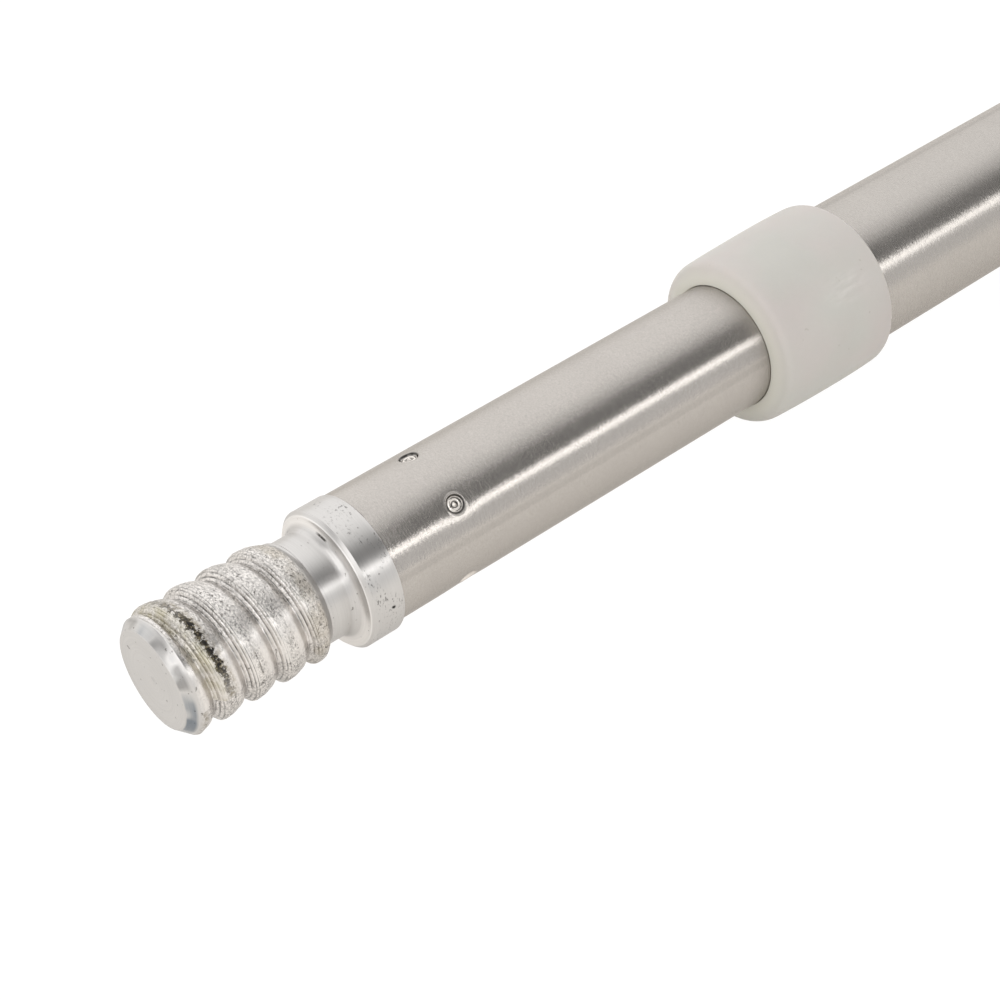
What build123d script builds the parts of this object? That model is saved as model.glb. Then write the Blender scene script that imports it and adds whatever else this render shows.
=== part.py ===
from build123d import *
import os
from math import cos, radians, sin

# Two-section telescopic pole for a paint roller, in millimetres.
# The pole lies along X. The origin is the centre of the shoulder face that a roller frame seats on,
# +X runs from the thread tip towards the hand grip, and +Z is up. The pole is closed and unlocked.
# Angles about the pole are in degrees, counted from +Y towards +Z.

# Driving dimensions: the two tubes
inner_radius = 10.0
outer_radius = 11.75
wall = 0.6
inner_length = 658.0
outer_length = 634.0
inner_bore = inner_radius - wall
outer_bore = outer_radius - wall

# Thread ferrule
tip_length = 28.1
tip_face_radius = 7.35
lead_in_radius = 8.2
lead_in_land = 1.4
crest_radius = 9.2
root_radius = 7.55
neck_length = 5.6
neck_radius = 7.85
neck_fillet = 0.9
shoulder_length = 5.5
shoulder_radius = 10.4
shoulder_edge = 0.5
spigot_length = 24.0
spigot_chamfer = 0.8

# Roller thread: right hand, five turns to the inch; one crest crosses a known line along the pole
thread_pitch = 5.08
crest_half = 0.75
crest_rounding = 0.4
root_half = 1.9
ridge_foot = 0.4
ridge_turns = 6
ridge_setback = 0.3
helix_start_angle = 90
crest_line_x = -12.75
crest_line_angle = 129.4

# Staking: five punched dimples round each joint, pressed into a groove in the piece inside
dimple_inset = 12.5
dimple_angles = (68, 130, 208, 278, 345)
dimple_radius = 1.5
dimple_floor_radius = 1.05
dimple_depth = 0.75
dimple_skin = 0.45
stake_groove_half = 2.3
stake_groove_depth = 1.3

# Guide collar
collar_front = 76.3
collar_length = 23.3
collar_front_radius = 13.35
collar_rear_radius = 13.85
collar_edge = 0.8
collar_mouth_chamfer = 0.45
collar_lip = 5.0
bushing_length = 38.0
running_gap = 0.05

# Twist lock at the rear end of the inner tube
flange_length = 3.0
seat_length = 8.0
seat_radius = 8.6
ring_slit = 1.6
ring_chamfer = 0.4
journal_offset = 0.8
journal_radius = 5.9
journal_length = 16.0
cam_gap = 1.0
cam_slit = 1.5
end_gap = 0.1
washer_radius = 7.6
washer_thickness = 1.2
washer_hole_radius = 2.1
screw_radius = 1.9
screw_length = 14.0
screw_head_radius = 3.7
screw_head_height = 2.4
screw_cross_length = 4.2
screw_cross_width = 0.9
screw_cross_depth = 1.4

# Rear end of the outer tube
cap_spigot_length = 16.0
cap_flange_length = 3.5
cap_radius = 14.0
cap_edge = 1.2
eye_length = 27.0
eye_half_width = 10.5
eye_half_thickness = 5.0
eye_edge = 1.5
hang_hole_radius = 4.0
buffer_length = 6.0
buffer_radius = 8.5
buffer_seat_depth = 4.0
buffer_edge = 0.8
stop_gap = 0.2
grip_length = 150.0
grip_rib_count = 12
grip_rib_width = 4.0
grip_rib_depth = 0.7
grip_end_margin = 14.0

# Positions along the pole that follow from the sizes above
inner_front = shoulder_length
inner_rear = inner_front + inner_length
outer_front = collar_front + collar_lip
outer_rear = outer_front + outer_length
bushing_rear = outer_front + bushing_length
seat_front = inner_rear + flange_length
seat_rear = seat_front + seat_length
journal_front = seat_rear + flange_length
journal_rear = journal_front + journal_length
washer_rear = journal_rear + washer_thickness
screw_rear = washer_rear + screw_head_height
buffer_front = screw_rear + stop_gap
cap_front = outer_rear - cap_spigot_length
flange_rear = outer_rear + cap_flange_length
eye_centre = flange_rear + eye_length - eye_half_width
stake_front = inner_front + dimple_inset
stake_rear = inner_rear - dimple_inset
stake_cap = outer_rear - dimple_inset

os.makedirs("parts", exist_ok=True)


def half_section(*points):
    """Filled half section, drawn as (x, radius) points, that is revolved about the pole's axis."""
    with BuildSketch(Plane.XY) as section:
        with BuildLine():
            Polyline(*points, close=True)
        make_face()
    return section


def rim(part, x, radius):
    """The round edges about the pole's axis at one place along it and of one radius."""
    return [
        edge
        for edge in part.edges().filter_by(GeomType.CIRCLE)
        if abs(edge.arc_center.X - x) < 0.01 and abs(edge.radius - radius) < 0.01
    ]


def dimple_section(tube_radius, x, angle, *points):
    """Filled half section of a dimple: distance from its middle, then height above the tube's surface."""
    line_of_punch = Plane(
        origin=(x, tube_radius * cos(radians(angle)), tube_radius * sin(radians(angle))),
        x_dir=(1, 0, 0),
        z_dir=(0, -sin(radians(angle)), cos(radians(angle))),
    )
    with BuildSketch(line_of_punch) as section:
        with BuildLine():
            Polyline(*points, close=True)
        make_face()
    return section


def punch_dimples(tube_radius, x):
    """Press the ring of dimples into the tube that is being built, without piercing its wall."""
    bulge_radius = dimple_radius + dimple_skin
    below = -dimple_depth - dimple_skin
    for angle in dimple_angles:
        outward = Axis((x, 0, 0), (0, cos(radians(angle)), sin(radians(angle))))
        bulge = dimple_section(
            tube_radius,
            x,
            angle,
            (0, below),
            (dimple_floor_radius, below),
            (bulge_radius, -wall),
            (bulge_radius, -wall / 3),
            (0, -wall / 3),
        )
        revolve(bulge.sketch, axis=outward)
        hollow = dimple_section(
            tube_radius,
            x,
            angle,
            (0, -dimple_depth / 2),
            (dimple_floor_radius / 3, -dimple_depth / 2),
            (dimple_floor_radius / 2, -dimple_depth),
            (dimple_floor_radius, -dimple_depth),
            (dimple_radius, 0),
            (dimple_radius, wall),
            (0, wall),
        )
        revolve(hollow.sketch, axis=outward, mode=Mode.SUBTRACT)


def thread_turn(index):
    """One turn of the thread's ridge, trimmed to the outline of the blank it was cut from."""
    ridge_depth = crest_radius - root_radius
    foot_half = root_half + ridge_foot * (root_half - crest_half) / ridge_depth
    turns_to_line = ridge_turns - 2 + (crest_line_angle - helix_start_angle) / 360
    start = crest_line_x + (index - turns_to_line) * thread_pitch
    blank_radius = crest_radius + ridge_foot
    blank_front = -tip_length + ridge_setback
    with BuildPart() as turn:
        with BuildLine() as crest_path:
            Helix(thread_pitch, thread_pitch, crest_radius, center=(start, 0, 0), direction=(1, 0, 0))
        crest = crest_path.edges()[0]
        with BuildSketch(Plane(origin=crest @ 0, x_dir=(1, 0, 0), z_dir=crest % 0)) as ridge:
            with BuildLine():
                Polyline(
                    (-foot_half, -ridge_depth - ridge_foot),
                    (-crest_half, 0),
                    (crest_half, 0),
                    (foot_half, -ridge_depth - ridge_foot),
                    close=True,
                )
            make_face()
            fillet(ridge.vertices().group_by(Axis.Y)[-1], crest_rounding)
        sweep(path=crest, is_frenet=True)
        blank = half_section(
            (blank_front, 0),
            (blank_front, tip_face_radius),
            (blank_front + blank_radius - tip_face_radius, blank_radius),
            (-neck_length - blank_radius + neck_radius, blank_radius),
            (-neck_length + ridge_foot, neck_radius - ridge_foot),
            (0, neck_radius - ridge_foot),
            (0, 0),
        )
        revolve(blank.sketch, axis=Axis.X, mode=Mode.INTERSECT)
    return turn.part


# Thread ferrule: turned aluminium, one piece from the thread tip to the spigot inside the tube.
# The ridge starts beyond the tip and ends under the neck, so the blank's outline trims both its ends.
ridge = [thread_turn(index) for index in range(ridge_turns)]
with BuildPart() as thread_ferrule:
    lead_in_length = lead_in_radius - tip_face_radius
    body = half_section(
        (-tip_length, 0),
        (-tip_length, tip_face_radius),
        (-tip_length + lead_in_length, lead_in_radius),
        (-tip_length + lead_in_length + lead_in_land, lead_in_radius),
        (-tip_length + lead_in_length + 2 * lead_in_land, root_radius),
        (-neck_length - neck_radius + root_radius, root_radius),
        (-neck_length, neck_radius),
        (0, neck_radius),
        (0, shoulder_radius),
        (shoulder_length, shoulder_radius),
        (shoulder_length, inner_bore),
        (stake_front - stake_groove_half, inner_bore),
        (stake_front - stake_groove_half, inner_bore - stake_groove_depth),
        (stake_front + stake_groove_half, inner_bore - stake_groove_depth),
        (stake_front + stake_groove_half, inner_bore),
        (shoulder_length + spigot_length, inner_bore),
        (shoulder_length + spigot_length, 0),
    )
    revolve(body.sketch, axis=Axis.X)
    for turn in ridge:
        add(turn)
    fillet(rim(thread_ferrule, 0, neck_radius), neck_fillet)
    chamfer(rim(thread_ferrule, 0, shoulder_radius), shoulder_edge)
    chamfer(rim(thread_ferrule, shoulder_length, shoulder_radius), shoulder_edge / 2)
    chamfer(rim(thread_ferrule, shoulder_length + spigot_length, inner_bore), spigot_chamfer)

# Inner tube: stainless, staked to the ferrule in front and to the lock plug behind
with BuildPart() as inner_tube:
    tube = half_section(
        (inner_front, inner_bore),
        (inner_front, inner_radius),
        (inner_rear, inner_radius),
        (inner_rear, inner_bore),
    )
    revolve(tube.sketch, axis=Axis.X)
    punch_dimples(inner_radius, stake_front)
    punch_dimples(inner_radius, stake_rear)

# Outer tube: stainless, staked to the end cap behind
with BuildPart() as outer_tube:
    tube = half_section(
        (outer_front, outer_bore),
        (outer_front, outer_radius),
        (outer_rear, outer_radius),
        (outer_rear, outer_bore),
    )
    revolve(tube.sketch, axis=Axis.X)
    punch_dimples(outer_radius, stake_cap)

# Guide collar: one moulding, a lip over the tube's mouth with a sleeve outside and a bushing inside
with BuildPart() as guide_collar:
    collar_rear = collar_front + collar_length
    guide_bore = inner_radius + running_gap
    section = half_section(
        (collar_front, guide_bore),
        (collar_front, collar_front_radius),
        (collar_rear - collar_length / 3, collar_rear_radius),
        (collar_rear, collar_rear_radius),
        (collar_rear, outer_radius),
        (outer_front, outer_radius),
        (outer_front, outer_bore),
        (bushing_rear, outer_bore),
        (bushing_rear, guide_bore),
    )
    revolve(section.sketch, axis=Axis.X)
    fillet(rim(guide_collar, collar_front, collar_front_radius), collar_edge)
    fillet(rim(guide_collar, collar_rear, collar_rear_radius), collar_edge)
    chamfer(rim(guide_collar, collar_front, guide_bore), collar_mouth_chamfer)

# Lock plug: nylon, with a spigot in the inner tube, a ring seat between flanges and the cam's journal
with BuildPart() as lock_plug:
    plug_front = inner_rear - spigot_length
    body = half_section(
        (plug_front, 0),
        (plug_front, inner_bore),
        (stake_rear - stake_groove_half, inner_bore),
        (stake_rear - stake_groove_half, inner_bore - stake_groove_depth),
        (stake_rear + stake_groove_half, inner_bore - stake_groove_depth),
        (stake_rear + stake_groove_half, inner_bore),
        (inner_rear, inner_bore),
        (inner_rear, inner_radius),
        (seat_front, inner_radius),
        (seat_front, seat_radius),
        (seat_rear, seat_radius),
        (seat_rear, inner_radius),
        (journal_front, inner_radius),
        (journal_front, 0),
    )
    revolve(body.sketch, axis=Axis.X)
    chamfer(rim(lock_plug, plug_front, inner_bore), spigot_chamfer)
    with BuildSketch(Plane.YZ.offset(journal_front)):
        with Locations((0, journal_offset)):
            Circle(journal_radius)
    extrude(amount=journal_length)
    with BuildSketch(Plane.YZ.offset(journal_rear)):
        with Locations((0, journal_offset)):
            Circle(screw_radius)
    extrude(amount=-screw_length, mode=Mode.SUBTRACT)

# Glide ring: nylon, split so that it springs over the plug's flange into its seat
with BuildPart() as glide_ring:
    ring_length = seat_length - 2 * end_gap
    with BuildSketch(Plane.YZ.offset(seat_front + end_gap)):
        Circle(outer_bore - running_gap)
        Circle(seat_radius + running_gap, mode=Mode.SUBTRACT)
        with Locations((0, -outer_bore / 2)):
            Rectangle(ring_slit, outer_bore, mode=Mode.SUBTRACT)
    extrude(amount=ring_length)
    chamfer(glide_ring.edges().filter_by(GeomType.CIRCLE), ring_chamfer)

# Lock cam: nylon ring whose bore is off centre, split on its thin side
with BuildPart() as lock_cam:
    cam_length = journal_length - 2 * end_gap
    cam_radius = outer_bore - cam_gap
    with BuildSketch(Plane.YZ.offset(journal_front + end_gap)):
        Circle(cam_radius)
        with Locations((0, journal_offset)):
            Circle(journal_radius + running_gap, mode=Mode.SUBTRACT)
        with Locations((0, cam_radius / 2 + journal_offset)):
            Rectangle(cam_slit, cam_radius, mode=Mode.SUBTRACT)
    extrude(amount=cam_length)
    outer_rims = lock_cam.edges().filter_by(GeomType.CIRCLE).group_by(SortBy.RADIUS)[-1]
    chamfer(outer_rims, ring_chamfer)

# Cam washer: steel, on the journal's end face
with BuildPart() as cam_washer:
    with BuildSketch(Plane.YZ.offset(journal_rear)):
        with Locations((0, journal_offset)):
            Circle(washer_radius)
            Circle(washer_hole_radius, mode=Mode.SUBTRACT)
    extrude(amount=washer_thickness)

# Cam screw: pan head with a cross recess, through the washer into the plug
with BuildPart() as cam_screw:
    with BuildSketch(Plane.YZ.offset(washer_rear)):
        with Locations((0, journal_offset)):
            Circle(screw_head_radius)
    extrude(amount=screw_head_height)
    fillet(cam_screw.edges().group_by(Axis.X)[-1], screw_head_height / 2)
    with BuildSketch(Plane.YZ.offset(washer_rear)):
        with Locations((0, journal_offset)):
            Circle(screw_radius)
    extrude(amount=-washer_thickness - screw_length)
    with BuildSketch(Plane.YZ.offset(screw_rear)):
        with Locations((0, journal_offset)):
            Rectangle(screw_cross_length, screw_cross_width)
            Rectangle(screw_cross_width, screw_cross_length)
    extrude(amount=-screw_cross_depth, mode=Mode.SUBTRACT)

# End buffer: rubber disc seated in the cap, where the closed pole stops
with BuildPart() as end_buffer:
    with BuildSketch(Plane.YZ.offset(buffer_front)):
        Circle(buffer_radius)
    extrude(amount=buffer_length)
    fillet(end_buffer.edges().group_by(Axis.X)[0], buffer_edge)

# End cap: moulded, with a spigot staked into the outer tube and an eye to hang the pole by
with BuildPart() as end_cap:
    body = half_section(
        (cap_front, buffer_radius),
        (cap_front, outer_bore),
        (stake_cap - stake_groove_half, outer_bore),
        (stake_cap - stake_groove_half, outer_bore - stake_groove_depth),
        (stake_cap + stake_groove_half, outer_bore - stake_groove_depth),
        (stake_cap + stake_groove_half, outer_bore),
        (outer_rear, outer_bore),
        (outer_rear, cap_radius),
        (flange_rear, cap_radius),
        (flange_rear, 0),
        (cap_front + buffer_seat_depth, 0),
        (cap_front + buffer_seat_depth, buffer_radius),
    )
    revolve(body.sketch, axis=Axis.X)
    fillet(rim(end_cap, flange_rear, cap_radius), cap_edge)
    with BuildSketch(Plane.XY.offset(-eye_half_thickness)):
        with BuildLine():
            Line((flange_rear, -eye_half_width), (eye_centre, -eye_half_width))
            RadiusArc(
                (eye_centre, -eye_half_width), (eye_centre, eye_half_width), -eye_half_width
            )
            Line((eye_centre, eye_half_width), (flange_rear, eye_half_width))
            Line((flange_rear, eye_half_width), (flange_rear, -eye_half_width))
        make_face()
    extrude(amount=2 * eye_half_thickness)
    tab_edges = end_cap.edges().filter_by(
        lambda edge: edge.center().X > flange_rear and abs(abs(edge.center().Z) - eye_half_thickness) < 0.01
    )
    fillet(tab_edges, eye_edge)
    with BuildSketch(Plane.XY.offset(-eye_half_thickness)):
        with Locations((eye_centre, 0)):
            Circle(hang_hole_radius)
    extrude(amount=2 * eye_half_thickness, mode=Mode.SUBTRACT)

# Grip sleeve: moulded over the rear of the outer tube, ringed with shallow grooves
with BuildPart() as grip_sleeve:
    grip_front = outer_rear - grip_length
    sleeve = half_section(
        (grip_front, outer_radius),
        (grip_front, cap_radius),
        (outer_rear, cap_radius),
        (outer_rear, outer_radius),
    )
    revolve(sleeve.sketch, axis=Axis.X)
    fillet(rim(grip_sleeve, grip_front, cap_radius), cap_edge)
    grip_span = grip_length - 2 * grip_end_margin
    for index in range(grip_rib_count):
        middle = grip_front + grip_end_margin + grip_span * (index + 0.5) / grip_rib_count
        groove = half_section(
            (middle - grip_rib_width / 2, cap_radius + grip_rib_depth),
            (middle - grip_rib_width / 4, cap_radius - grip_rib_depth),
            (middle + grip_rib_width / 4, cap_radius - grip_rib_depth),
            (middle + grip_rib_width / 2, cap_radius + grip_rib_depth),
        )
        revolve(groove.sketch, axis=Axis.X, mode=Mode.SUBTRACT)

pieces = {
    "thread_ferrule": thread_ferrule,
    "inner_tube": inner_tube,
    "outer_tube": outer_tube,
    "guide_collar": guide_collar,
    "lock_plug": lock_plug,
    "glide_ring": glide_ring,
    "lock_cam": lock_cam,
    "cam_washer": cam_washer,
    "cam_screw": cam_screw,
    "end_buffer": end_buffer,
    "end_cap": end_cap,
    "grip_sleeve": grip_sleeve,
}
for name, piece in pieces.items():
    piece.part.label = name
    export_step(piece.part, f"parts/{name}.step")
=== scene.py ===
import math
from types import SimpleNamespace

import bpy
import numpy as np
from mathutils import Matrix, Vector


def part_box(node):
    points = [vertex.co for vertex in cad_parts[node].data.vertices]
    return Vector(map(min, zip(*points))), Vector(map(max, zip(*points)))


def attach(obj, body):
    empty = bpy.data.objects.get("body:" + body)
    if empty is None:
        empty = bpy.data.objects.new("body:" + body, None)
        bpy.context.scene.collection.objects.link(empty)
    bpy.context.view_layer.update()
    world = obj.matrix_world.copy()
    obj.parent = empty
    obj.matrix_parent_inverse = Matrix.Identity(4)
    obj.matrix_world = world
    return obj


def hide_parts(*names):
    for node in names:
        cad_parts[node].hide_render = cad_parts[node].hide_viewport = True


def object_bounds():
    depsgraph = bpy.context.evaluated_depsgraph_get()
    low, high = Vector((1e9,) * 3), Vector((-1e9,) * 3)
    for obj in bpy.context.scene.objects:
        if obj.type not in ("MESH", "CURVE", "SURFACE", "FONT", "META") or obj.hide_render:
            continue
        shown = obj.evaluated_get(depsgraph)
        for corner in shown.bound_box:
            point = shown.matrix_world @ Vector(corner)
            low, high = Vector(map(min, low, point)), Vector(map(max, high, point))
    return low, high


# A telescopic roller pole: turned thread tip, two brushed tubes, plain collar, ribbed grip and hanging cap.
# Lengths are in millimetres unless a name says otherwise. The pole's axis is the X axis.
# Angles about the pole are in degrees, counted from +Y towards +Z.

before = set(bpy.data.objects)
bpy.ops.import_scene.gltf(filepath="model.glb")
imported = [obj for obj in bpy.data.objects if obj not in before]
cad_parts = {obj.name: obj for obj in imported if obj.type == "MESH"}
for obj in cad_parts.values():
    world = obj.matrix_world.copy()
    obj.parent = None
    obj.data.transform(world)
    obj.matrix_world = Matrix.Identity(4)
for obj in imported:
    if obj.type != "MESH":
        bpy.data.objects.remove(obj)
cad_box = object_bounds()
MM = 0.001     # a millimetre in metres


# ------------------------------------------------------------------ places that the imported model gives

def span(node):
    """First and last place of a node along the pole, and its radius, in millimetres."""
    low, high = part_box(node)
    return low.x / MM, high.x / MM, (high.y - low.y) / 2 / MM


tip_x, ferrule_end, _ = span("thread_ferrule")
front_x, front_end, front_radius = span("inner_tube")
rear_x, rear_end, rear_radius = span("outer_tube")
collar_x, bushing_end, _ = span("guide_collar")
grip_x, grip_end, grip_radius = span("grip_sleeve")
WALL = 0.6               # of both tubes
BUSHING_GAP = 0.05       # between the front tube and the collar's bushing
BUSHING_FIT = 0.01       # between the bushing and the outer tube
SEATING_GAP = 0.02       # between a piece and the tube that it is seated in or on


# ------------------------------------------------------------------ mesh tools

def skin(name, x, radius, angles, closed, sharp=38, offset=None):
    """Mesh of rings about the pole. x and radius are tables of rings by angles, in millimetres.
    Closed means that the last ring meets the first; otherwise each end is closed by a fan."""
    rows, columns = radius.shape
    turn = np.radians(angles)[None, :]
    points = np.stack([x, radius * np.cos(turn), radius * np.sin(turn)], -1)
    if offset is not None:
        points = points + offset
    points = points.reshape(-1, 3)
    row, column = np.meshgrid(np.arange(rows if closed else rows - 1), np.arange(columns), indexing="ij")
    after = (row + 1) % rows
    beside = (column + 1) % columns
    here = row * columns
    there = after * columns
    corners = [here + column, here + beside, there + beside, there + column]
    faces = np.stack(corners, -1).reshape(-1, 4).tolist()
    if not closed:
        first = len(points)
        last = first + 1
        ring = np.arange(columns)
        ends = [points[:columns].mean(0), points[-columns:].mean(0)]
        points = np.vstack([points, ends])
        faces += [[first, (j + 1) % columns, j] for j in ring]
        base = (rows - 1) * columns
        faces += [[last, base + j, base + (j + 1) % columns] for j in ring]
    mesh = bpy.data.meshes.new(name)
    mesh.from_pydata((points * MM).tolist(), [], faces)
    mesh.shade_smooth()
    mesh.set_sharp_from_angle(angle=math.radians(sharp))
    mesh.update()
    piece = bpy.data.objects.new(name, mesh)
    bpy.context.scene.collection.objects.link(piece)
    return piece


def rings(outline, count):
    """Tables of x and radius for an outline that is the same at each of the angles."""
    outline = np.array(outline, float)
    ones = np.ones((1, count))
    return outline[:, :1] * ones, outline[:, 1:] * ones


def joined(parts):
    """Tables of x and radius for several parts, one after another."""
    return (np.vstack(tables) for tables in zip(*parts))


def rounded(corners, steps):
    """Closed outline through corners of (x, radius, rounding). A rounding of 0 leaves a corner sharp."""
    outline = []
    for place, (x, radius, rounding) in enumerate(corners):
        here = np.array((x, radius))
        if not rounding:
            outline.append(here)
            continue
        back = np.array(corners[place - 1][:2]) - here
        ahead = np.array(corners[(place + 1) % len(corners)][:2]) - here
        start = here + back / np.linalg.norm(back) * rounding
        finish = here + ahead / np.linalg.norm(ahead) * rounding
        for t in np.linspace(0, 1, steps):
            outline.append((1 - t) ** 2 * start + 2 * t * (1 - t) * here + t * t * finish)
    return outline


def point(x, radius, angle):
    """Point in metres at a place along the pole, a radius and an angle about it."""
    turn = math.radians(angle)
    return Vector((x, radius * math.cos(turn), radius * math.sin(turn))) * MM


def smoothstep(low, high, value):
    """Smooth rise from 0 at low to 1 at high."""
    t = np.clip((value - low) / (high - low), 0, 1)
    return t * t * (3 - 2 * t)


def ripple(x, angles, amplitude, finest, seed, waves=40):
    """Smooth random unevenness over the surface, the same each run."""
    most_around = 40
    random = np.random.default_rng(seed)
    total = np.zeros(np.broadcast(x, angles).shape)
    turn = np.radians(angles)
    for _ in range(waves):
        along = random.uniform(-1, 1) * 2 * np.pi / finest
        around = random.integers(-most_around, most_around + 1)
        total += np.sin(along * x + around * turn + random.uniform(0, 2 * np.pi))
    return amplitude * total / math.sqrt(waves)


def hill(value, middle, width):
    """Bell curve with its top of 1 at the middle."""
    return np.exp(-(((value - middle) / width) ** 2))


def fine_steps(low, high, coarse, zones):
    """Places from low to high, coarse apart, with finer steps in zones of (from, to, step)."""
    places = set(np.round(np.linspace(low, high, max(2, int((high - low) / coarse) + 1)), 4))
    for start, stop, step in zones:
        places = {p for p in places if not start < p < stop or p in (low, high)}
        inside = np.arange(max(start, low), min(stop, high) + step / 2, step)
        places |= set(np.round(np.clip(inside, low, high), 4))
    return np.array(sorted(places))


# ------------------------------------------------------------------ node tools

class Shader:
    """Short ways to build one node tree."""

    def __init__(self, tree):
        self.tree = tree
        tree.nodes.clear()

    def node(self, kind, inputs=None, **settings):
        made = self.tree.nodes.new(kind)
        for key, value in settings.items():
            setattr(made, key, value)
        for key, value in (inputs or {}).items():
            self.plug(made.inputs[key], value)
        return made

    def plug(self, socket, value):
        if isinstance(value, bpy.types.NodeSocket):
            self.tree.links.new(value, socket)
        elif hasattr(value, "__len__") and socket.type == "RGBA" and len(value) == 3:
            socket.default_value = (*value, 1)
        else:
            socket.default_value = value

    def math(self, operation, a, b=0.0):
        made = self.node("ShaderNodeMath", operation=operation)
        self.plug(made.inputs[0], a)
        self.plug(made.inputs[1], b)
        return made.outputs[0]

    def times(self, *values):
        product = values[0]
        for value in values[1:]:
            product = self.math("MULTIPLY", product, value)
        return product

    def minus(self, a, b):
        return self.math("SUBTRACT", a, b)

    def gap(self, value, middle):
        return self.math("ABSOLUTE", self.minus(value, middle))

    def vector(self, x, y, z):
        return self.node("ShaderNodeCombineXYZ", {0: x, 1: y, 2: z}).outputs[0]

    def scaled(self, vector, factors):
        made = self.node("ShaderNodeVectorMath", operation="MULTIPLY")
        self.plug(made.inputs[0], vector)
        self.plug(made.inputs[1], factors)
        return made.outputs[0]

    def noise(self, where, factors, detail=2.0, roughness=0.5):
        """Noise at a place in metres. The factors are its frequency along X, Y and Z."""
        vector = self.scaled(where, factors)
        inputs = {"Vector": vector, "Scale": 1.0, "Detail": detail, "Roughness": roughness}
        return self.node("ShaderNodeTexNoise", inputs).outputs["Fac"]

    def range(self, value, low, high, to_low=0.0, to_high=1.0, smooth=False):
        kind = "SMOOTHSTEP" if smooth else "LINEAR"
        inputs = {"Value": value, "From Min": low, "From Max": high, "To Min": to_low, "To Max": to_high}
        return self.node("ShaderNodeMapRange", inputs, interpolation_type=kind, clamp=True).outputs[0]

    def ramp(self, value, stops):
        made = self.node("ShaderNodeValToRGB", {"Fac": value})
        elements = made.color_ramp.elements
        while len(elements) < len(stops):
            elements.new(1.0)
        for element, (place, colour) in zip(elements, stops):
            element.position = place
            element.color = (*colour, 1)
        return made.outputs[0]

    def mix(self, share, a, b, blend="MIX"):
        made = self.node("ShaderNodeMix", data_type="RGBA", blend_type=blend, clamp_factor=True)
        for socket, value in zip([made.inputs[0], made.inputs[6], made.inputs[7]], (share, a, b)):
            self.plug(socket, value)
        return made.outputs[2]

    def shaded(self, colour, level):
        return self.mix(1.0, colour, self.vector(level, level, level), "MULTIPLY")

    def bump(self, height, distance, normal=None):
        inputs = {"Height": height, "Distance": distance}
        if normal is not None:
            inputs["Normal"] = normal
        return self.node("ShaderNodeBump", inputs).outputs[0]

    def attribute(self, name):
        return self.node("ShaderNodeAttribute", attribute_name=name).outputs["Fac"]

    def round_the_pole(self):
        """Tangent that runs round the X axis."""
        return self.node("ShaderNodeTangent", direction_type="RADIAL", axis="X").outputs[0]

    def where(self):
        return self.node("ShaderNodeTexCoord").outputs["Object"]

    def place(self):
        """Place on the object in metres, its parts, its radius, and its angle about the pole in radians."""
        where = self.where()
        x, y, z = self.node("ShaderNodeSeparateXYZ", {0: where}).outputs
        radius = self.math("SQRT", self.math("ADD", self.times(y, y), self.times(z, z)))
        angle = self.math("ARCTAN2", z, y)
        return SimpleNamespace(where=where, x=x, y=y, z=z, radius=radius, angle=angle)

    def surface(self, **inputs):
        made = self.node("ShaderNodeBsdfPrincipled")
        for key, value in inputs.items():
            self.plug(made.inputs[key.replace("_", " ")], value)
        self.node("ShaderNodeOutputMaterial", {"Surface": made.outputs[0]})


def material(name):
    made = bpy.data.materials.new(name)
    made.use_nodes = True
    return made, Shader(made.node_tree)


# ------------------------------------------------------------------ materials

ALONG_THE_POLE = 0.25      # anisotropic rotation that spreads highlights along the pole


def brushed_steel(name, colour, roughness, reflected_line_angle):
    """Stainless steel brushed round the tube: highlights stay sharp across it and spread along it.
    Where the tube is punched, the brushing is pressed away and the metal shines evenly."""
    made, s = material(name)
    at = s.place()
    scratches = s.noise(at.where, (7500, 1300, 1300), 3, 0.7)
    hairs = s.noise(at.where, (5200, 420, 420), 2, 0.6)
    bands = s.noise(at.where, (210, 14, 14), 2, 0.5)
    grains = s.noise(at.where, (4200, 3400, 3400), 3, 0.75)
    # painted reflection: a faint dark line, reflected along the tube, is painted into its colour for its
    # whole length
    from_reflected_line = s.gap(at.angle, math.radians(reflected_line_angle))
    punched = s.attribute("punched")
    # painted shade: the groove attribute darkens the colour in the dimples' grooves
    groove = s.attribute("groove")
    shade = s.times(
        s.math("ADD", s.range(scratches, 0.3, 0.7, 0.955, 1.045), s.range(bands, 0.3, 0.7, -0.012, 0.012)),
        s.range(grains, 0.3, 0.7, 0.93, 1.07),
        s.range(from_reflected_line, 0.02, 0.085, 0.90, 1.0, True),
        s.range(punched, 0.0, 1.0, 1.0, 1.5),
        s.range(groove, 0.0, 1.0, 1.0, 0.05),
    )
    brushed = s.minus(1.0, punched)
    normal = s.bump(s.times(scratches, brushed), 3.0e-5)
    normal = s.bump(s.times(hairs, brushed), 4.2e-5, normal)
    rough = s.range(hairs, 0.25, 0.75, roughness - 0.02, roughness + 0.02)
    punched_roughness = 0.11
    s.surface(
        Base_Color=s.shaded(colour, shade),
        Metallic=1.0,
        Roughness=s.minus(rough, s.times(punched, roughness - punched_roughness)),
        Anisotropic=brushed,
        Anisotropic_Rotation=ALONG_THE_POLE,
        Specular_Tint=(0.74, 0.73, 0.72, 1),
        Tangent=s.round_the_pole(),
        Normal=normal,
    )
    return made


# the thread is a helix, whose crest line crosses CREST_X at CREST_ANGLE
CREST_X = -12.85
CREST_ANGLE = 129.4
PITCH = 5.08
FIRST_CREST_X = CREST_X - 2 * PITCH
THREAD_START = -26.8
THREAD_END = -5.6

TIP_FACE_RADIUS = 7.35
SCRATCH_X = -0.28
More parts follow.
